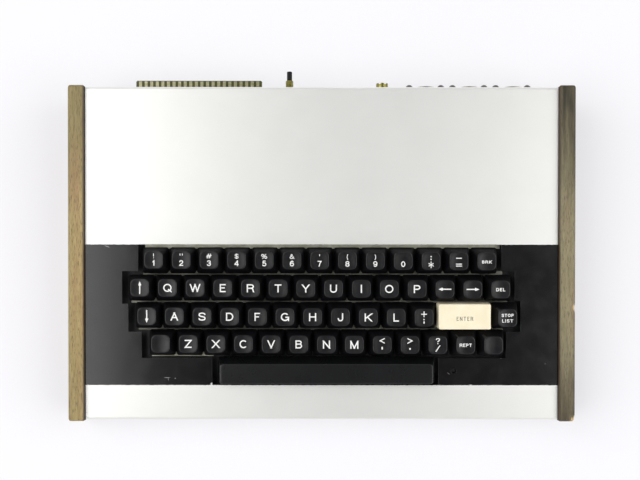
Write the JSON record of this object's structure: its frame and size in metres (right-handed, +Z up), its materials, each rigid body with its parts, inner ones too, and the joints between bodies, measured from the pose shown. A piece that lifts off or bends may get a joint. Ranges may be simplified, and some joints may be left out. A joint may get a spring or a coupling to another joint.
{
  "type": "home computer",
  "caption": "Low wedge-shaped home computer with a sheet-metal top, wooden cheeks, a built-in keyboard, an edge connector, a reset button and round sockets at the back.",
  "frame": {"origin": "middle of the footprint at desk height, plunger tip included", "axes": "+X to the user's right, +Y to the back with the sockets, +Z up"},
  "size_m": [0.352, 0.2448, 0.0529],
  "materials": {
    "cover_aluminium": "satin",
    "tray_paint": "matte",
    "cheek_wood": "matte",
    "board_resin": "satin",
    "black_plastic": "matte",
    "cream_plastic": "satin",
    "legend_plastic": "satin",
    "socket_brass": "satin",
    "socket_nickel": "polished",
    "foot_rubber": "matte",
    "contact_plating": "satin"
  },
  "bodies": {
    "case": {"top_cover": "cover_aluminium", "bottom_cover": "tray_paint", "left_cheek": "cheek_wood", "right_cheek": "cheek_wood", "circuit_board": "board_resin"},
    "reset_button": {"reset_button": "black_plastic"},
    "enter_key": {"enter_key": "cream_plastic"},
    "space_bar": {"space_bar": "black_plastic"},
    "key_1": {"key_1": "black_plastic"},
    "key_2": {"key_2": "black_plastic"},
    "key_3": {"key_3": "black_plastic"},
    "key_4": {"key_4": "black_plastic"},
    "key_5": {"key_5": "black_plastic"},
    "key_6": {"key_6": "black_plastic"},
    "key_7": {"key_7": "black_plastic"},
    "key_8": {"key_8": "black_plastic"},
    "key_9": {"key_9": "black_plastic"},
    "key_0": {"key_0": "black_plastic"},
    "key_colon": {"key_colon": "black_plastic"},
    "key_minus": {"key_minus": "black_plastic"},
    "key_break": {"key_break": "black_plastic"},
    "key_up": {"key_up": "black_plastic"},
    "key_q": {"key_q": "black_plastic"},
    "key_w": {"key_w": "black_plastic"},
    "key_e": {"key_e": "black_plastic"},
    "key_r": {"key_r": "black_plastic"},
    "key_t": {"key_t": "black_plastic"},
    "key_y": {"key_y": "black_plastic"},
    "key_u": {"key_u": "black_plastic"},
    "key_i": {"key_i": "black_plastic"},
    "key_o": {"key_o": "black_plastic"},
    "key_p": {"key_p": "black_plastic"},
    "key_left": {"key_left": "black_plastic"},
    "key_right": {"key_right": "black_plastic"},
    "key_delete": {"key_delete": "black_plastic"},
    "key_down": {"key_down": "black_plastic"},
    "key_a": {"key_a": "black_plastic"},
    "key_s": {"key_s": "black_plastic"},
    "key_d": {"key_d": "black_plastic"},
    "key_f": {"key_f": "black_plastic"},
    "key_g": {"key_g": "black_plastic"},
    "key_h": {"key_h": "black_plastic"},
    "key_j": {"key_j": "black_plastic"},
    "key_k": {"key_k": "black_plastic"},
    "key_l": {"key_l": "black_plastic"},
    "key_plus": {"key_plus": "black_plastic"},
    "key_stop_list": {"key_stop_list": "black_plastic"},
    "key_blank_left": {"key_blank_left": "black_plastic"},
    "key_z": {"key_z": "black_plastic"},
    "key_x": {"key_x": "black_plastic"},
    "key_c": {"key_c": "black_plastic"},
    "key_v": {"key_v": "black_plastic"},
    "key_b": {"key_b": "black_plastic"},
    "key_n": {"key_n": "black_plastic"},
    "key_m": {"key_m": "black_plastic"},
    "key_comma": {"key_comma": "black_plastic"},
    "key_period": {"key_period": "black_plastic"},
    "key_slash": {"key_slash": "black_plastic"},
    "key_repeat": {"key_repeat": "black_plastic"},
    "key_blank_right": {"key_blank_right": "black_plastic"}
  },
  "joints": [
    {"name": "reset_button_press", "type": "slide", "parent": "case", "child": "reset_button", "axis": [0, -0.997, -0.0775], "range_m": [0, 0.0025], "stiffness_N_per_m": 300, "springref_m": -0.001},
    {"name": "enter_key_press", "type": "slide", "parent": "case", "child": "enter_key", "axis": [0, 0.0775, -0.997], "range_m": [0, 0.0038], "stiffness_N_per_m": 170, "springref_m": -0.001},
    {"name": "space_bar_press", "type": "slide", "parent": "case", "child": "space_bar", "axis": [0, 0.0775, -0.997], "range_m": [0, 0.0038], "stiffness_N_per_m": 170, "springref_m": -0.001},
    {"name": "key_1_press", "type": "slide", "parent": "case", "child": "key_1", "axis": [0, 0.0775, -0.997], "range_m": [0, 0.0038], "stiffness_N_per_m": 170, "springref_m": -0.001},
    {"name": "key_2_press", "type": "slide", "parent": "case", "child": "key_2", "axis": [0, 0.0775, -0.997], "range_m": [0, 0.0038], "stiffness_N_per_m": 170, "springref_m": -0.001},
    {"name": "key_3_press", "type": "slide", "parent": "case", "child": "key_3", "axis": [0, 0.0775, -0.997], "range_m": [0, 0.0038], "stiffness_N_per_m": 170, "springref_m": -0.001},
    {"name": "key_4_press", "type": "slide", "parent": "case", "child": "key_4", "axis": [0, 0.0775, -0.997], "range_m": [0, 0.0038], "stiffness_N_per_m": 170, "springref_m": -0.001},
    {"name": "key_5_press", "type": "slide", "parent": "case", "child": "key_5", "axis": [0, 0.0775, -0.997], "range_m": [0, 0.0038], "stiffness_N_per_m": 170, "springref_m": -0.001},
    {"name": "key_6_press", "type": "slide", "parent": "case", "child": "key_6", "axis": [0, 0.0775, -0.997], "range_m": [0, 0.0038], "stiffness_N_per_m": 170, "springref_m": -0.001},
    {"name": "key_7_press", "type": "slide", "parent": "case", "child": "key_7", "axis": [0, 0.0775, -0.997], "range_m": [0, 0.0038], "stiffness_N_per_m": 170, "springref_m": -0.001},
    {"name": "key_8_press", "type": "slide", "parent": "case", "child": "key_8", "axis": [0, 0.0775, -0.997], "range_m": [0, 0.0038], "stiffness_N_per_m": 170, "springref_m": -0.001},
    {"name": "key_9_press", "type": "slide", "parent": "case", "child": "key_9", "axis": [0, 0.0775, -0.997], "range_m": [0, 0.0038], "stiffness_N_per_m": 170, "springref_m": -0.001},
    {"name": "key_0_press", "type": "slide", "parent": "case", "child": "key_0", "axis": [0, 0.0775, -0.997], "range_m": [0, 0.0038], "stiffness_N_per_m": 170, "springref_m": -0.001},
    {"name": "key_colon_press", "type": "slide", "parent": "case", "child": "key_colon", "axis": [0, 0.0775, -0.997], "range_m": [0, 0.0038], "stiffness_N_per_m": 170, "springref_m": -0.001},
    {"name": "key_minus_press", "type": "slide", "parent": "case", "child": "key_minus", "axis": [0, 0.0775, -0.997], "range_m": [0, 0.0038], "stiffness_N_per_m": 170, "springref_m": -0.001},
    {"name": "key_break_press", "type": "slide", "parent": "case", "child": "key_break", "axis": [0, 0.0775, -0.997], "range_m": [0, 0.0038], "stiffness_N_per_m": 170, "springref_m": -0.001},
    {"name": "key_up_press", "type": "slide", "parent": "case", "child": "key_up", "axis": [0, 0.0775, -0.997], "range_m": [0, 0.0038], "stiffness_N_per_m": 170, "springref_m": -0.001},
    {"name": "key_q_press", "type": "slide", "parent": "case", "child": "key_q", "axis": [0, 0.0775, -0.997], "range_m": [0, 0.0038], "stiffness_N_per_m": 170, "springref_m": -0.001},
    {"name": "key_w_press", "type": "slide", "parent": "case", "child": "key_w", "axis": [0, 0.0775, -0.997], "range_m": [0, 0.0038], "stiffness_N_per_m": 170, "springref_m": -0.001},
    {"name": "key_e_press", "type": "slide", "parent": "case", "child": "key_e", "axis": [0, 0.0775, -0.997], "range_m": [0, 0.0038], "stiffness_N_per_m": 170, "springref_m": -0.001},
    {"name": "key_r_press", "type": "slide", "parent": "case", "child": "key_r", "axis": [0, 0.0775, -0.997], "range_m": [0, 0.0038], "stiffness_N_per_m": 170, "springref_m": -0.001},
    {"name": "key_t_press", "type": "slide", "parent": "case", "child": "key_t", "axis": [0, 0.0775, -0.997], "range_m": [0, 0.0038], "stiffness_N_per_m": 170, "springref_m": -0.001},
    {"name": "key_y_press", "type": "slide", "parent": "case", "child": "key_y", "axis": [0, 0.0775, -0.997], "range_m": [0, 0.0038], "stiffness_N_per_m": 170, "springref_m": -0.001},
    {"name": "key_u_press", "type": "slide", "parent": "case", "child": "key_u", "axis": [0, 0.0775, -0.997], "range_m": [0, 0.0038], "stiffness_N_per_m": 170, "springref_m": -0.001},
    {"name": "key_i_press", "type": "slide", "parent": "case", "child": "key_i", "axis": [0, 0.0775, -0.997], "range_m": [0, 0.0038], "stiffness_N_per_m": 170, "springref_m": -0.001},
    {"name": "key_o_press", "type": "slide", "parent": "case", "child": "key_o", "axis": [0, 0.0775, -0.997], "range_m": [0, 0.0038], "stiffness_N_per_m": 170, "springref_m": -0.001},
    {"name": "key_p_press", "type": "slide", "parent": "case", "child": "key_p", "axis": [0, 0.0775, -0.997], "range_m": [0, 0.0038], "stiffness_N_per_m": 170, "springref_m": -0.001},
    {"name": "key_left_press", "type": "slide", "parent": "case", "child": "key_left", "axis": [0, 0.0775, -0.997], "range_m": [0, 0.0038], "stiffness_N_per_m": 170, "springref_m": -0.001},
    {"name": "key_right_press", "type": "slide", "parent": "case", "child": "key_right", "axis": [0, 0.0775, -0.997], "range_m": [0, 0.0038], "stiffness_N_per_m": 170, "springref_m": -0.001},
    {"name": "key_delete_press", "type": "slide", "parent": "case", "child": "key_delete", "axis": [0, 0.0775, -0.997], "range_m": [0, 0.0038], "stiffness_N_per_m": 170, "springref_m": -0.001},
    {"name": "key_down_press", "type": "slide", "parent": "case", "child": "key_down", "axis": [0, 0.0775, -0.997], "range_m": [0, 0.0038], "stiffness_N_per_m": 170, "springref_m": -0.001},
    {"name": "key_a_press", "type": "slide", "parent": "case", "child": "key_a", "axis": [0, 0.0775, -0.997], "range_m": [0, 0.0038], "stiffness_N_per_m": 170, "springref_m": -0.001},
    {"name": "key_s_press", "type": "slide", "parent": "case", "child": "key_s", "axis": [0, 0.0775, -0.997], "range_m": [0, 0.0038], "stiffness_N_per_m": 170, "springref_m": -0.001},
    {"name": "key_d_press", "type": "slide", "parent": "case", "child": "key_d", "axis": [0, 0.0775, -0.997], "range_m": [0, 0.0038], "stiffness_N_per_m": 170, "springref_m": -0.001},
    {"name": "key_f_press", "type": "slide", "parent": "case", "child": "key_f", "axis": [0, 0.0775, -0.997], "range_m": [0, 0.0038], "stiffness_N_per_m": 170, "springref_m": -0.001},
    {"name": "key_g_press", "type": "slide", "parent": "case", "child": "key_g", "axis": [0, 0.0775, -0.997], "range_m": [0, 0.0038], "stiffness_N_per_m": 170, "springref_m": -0.001},
    {"name": "key_h_press", "type": "slide", "parent": "case", "child": "key_h", "axis": [0, 0.0775, -0.997], "range_m": [0, 0.0038], "stiffness_N_per_m": 170, "springref_m": -0.001},
    {"name": "key_j_press", "type": "slide", "parent": "case", "child": "key_j", "axis": [0, 0.0775, -0.997], "range_m": [0, 0.0038], "stiffness_N_per_m": 170, "springref_m": -0.001},
    {"name": "key_k_press", "type": "slide", "parent": "case", "child": "key_k", "axis": [0, 0.0775, -0.997], "range_m": [0, 0.0038], "stiffness_N_per_m": 170, "springref_m": -0.001},
    {"name": "key_l_press", "type": "slide", "parent": "case", "child": "key_l", "axis": [0, 0.0775, -0.997], "range_m": [0, 0.0038], "stiffness_N_per_m": 170, "springref_m": -0.001},
    {"name": "key_plus_press", "type": "slide", "parent": "case", "child": "key_plus", "axis": [0, 0.0775, -0.997], "range_m": [0, 0.0038], "stiffness_N_per_m": 170, "springref_m": -0.001},
    {"name": "key_stop_list_press", "type": "slide", "parent": "case", "child": "key_stop_list", "axis": [0, 0.0775, -0.997], "range_m": [0, 0.0038], "stiffness_N_per_m": 170, "springref_m": -0.001},
    {"name": "key_blank_left_press", "type": "slide", "parent": "case", "child": "key_blank_left", "axis": [0, 0.0775, -0.997], "range_m": [0, 0.0038], "stiffness_N_per_m": 170, "springref_m": -0.001},
    {"name": "key_z_press", "type": "slide", "parent": "case", "child": "key_z", "axis": [0, 0.0775, -0.997], "range_m": [0, 0.0038], "stiffness_N_per_m": 170, "springref_m": -0.001},
    {"name": "key_x_press", "type": "slide", "parent": "case", "child": "key_x", "axis": [0, 0.0775, -0.997], "range_m": [0, 0.0038], "stiffness_N_per_m": 170, "springref_m": -0.001},
    {"name": "key_c_press", "type": "slide", "parent": "case", "child": "key_c", "axis": [0, 0.0775, -0.997], "range_m": [0, 0.0038], "stiffness_N_per_m": 170, "springref_m": -0.001},
    {"name": "key_v_press", "type": "slide", "parent": "case", "child": "key_v", "axis": [0, 0.0775, -0.997], "range_m": [0, 0.0038], "stiffness_N_per_m": 170, "springref_m": -0.001},
    {"name": "key_b_press", "type": "slide", "parent": "case", "child": "key_b", "axis": [0, 0.0775, -0.997], "range_m": [0, 0.0038], "stiffness_N_per_m": 170, "springref_m": -0.001},
    {"name": "key_n_press", "type": "slide", "parent": "case", "child": "key_n", "axis": [0, 0.0775, -0.997], "range_m": [0, 0.0038], "stiffness_N_per_m": 170, "springref_m": -0.001},
    {"name": "key_m_press", "type": "slide", "parent": "case", "child": "key_m", "axis": [0, 0.0775, -0.997], "range_m": [0, 0.0038], "stiffness_N_per_m": 170, "springref_m": -0.001},
    {"name": "key_comma_press", "type": "slide", "parent": "case", "child": "key_comma", "axis": [0, 0.0775, -0.997], "range_m": [0, 0.0038], "stiffness_N_per_m": 170, "springref_m": -0.001},
    {"name": "key_period_press", "type": "slide", "parent": "case", "child": "key_period", "axis": [0, 0.0775, -0.997], "range_m": [0, 0.0038], "stiffness_N_per_m": 170, "springref_m": -0.001},
    {"name": "key_slash_press", "type": "slide", "parent": "case", "child": "key_slash", "axis": [0, 0.0775, -0.997], "range_m": [0, 0.0038], "stiffness_N_per_m": 170, "springref_m": -0.001},
    {"name": "key_repeat_press", "type": "slide", "parent": "case", "child": "key_repeat", "axis": [0, 0.0775, -0.997], "range_m": [0, 0.0038], "stiffness_N_per_m": 170, "springref_m": -0.001},
    {"name": "key_blank_right_press", "type": "slide", "parent": "case", "child": "key_blank_right", "axis": [0, 0.0775, -0.997], "range_m": [0, 0.0038], "stiffness_N_per_m": 170, "springref_m": -0.001}
  ]
}
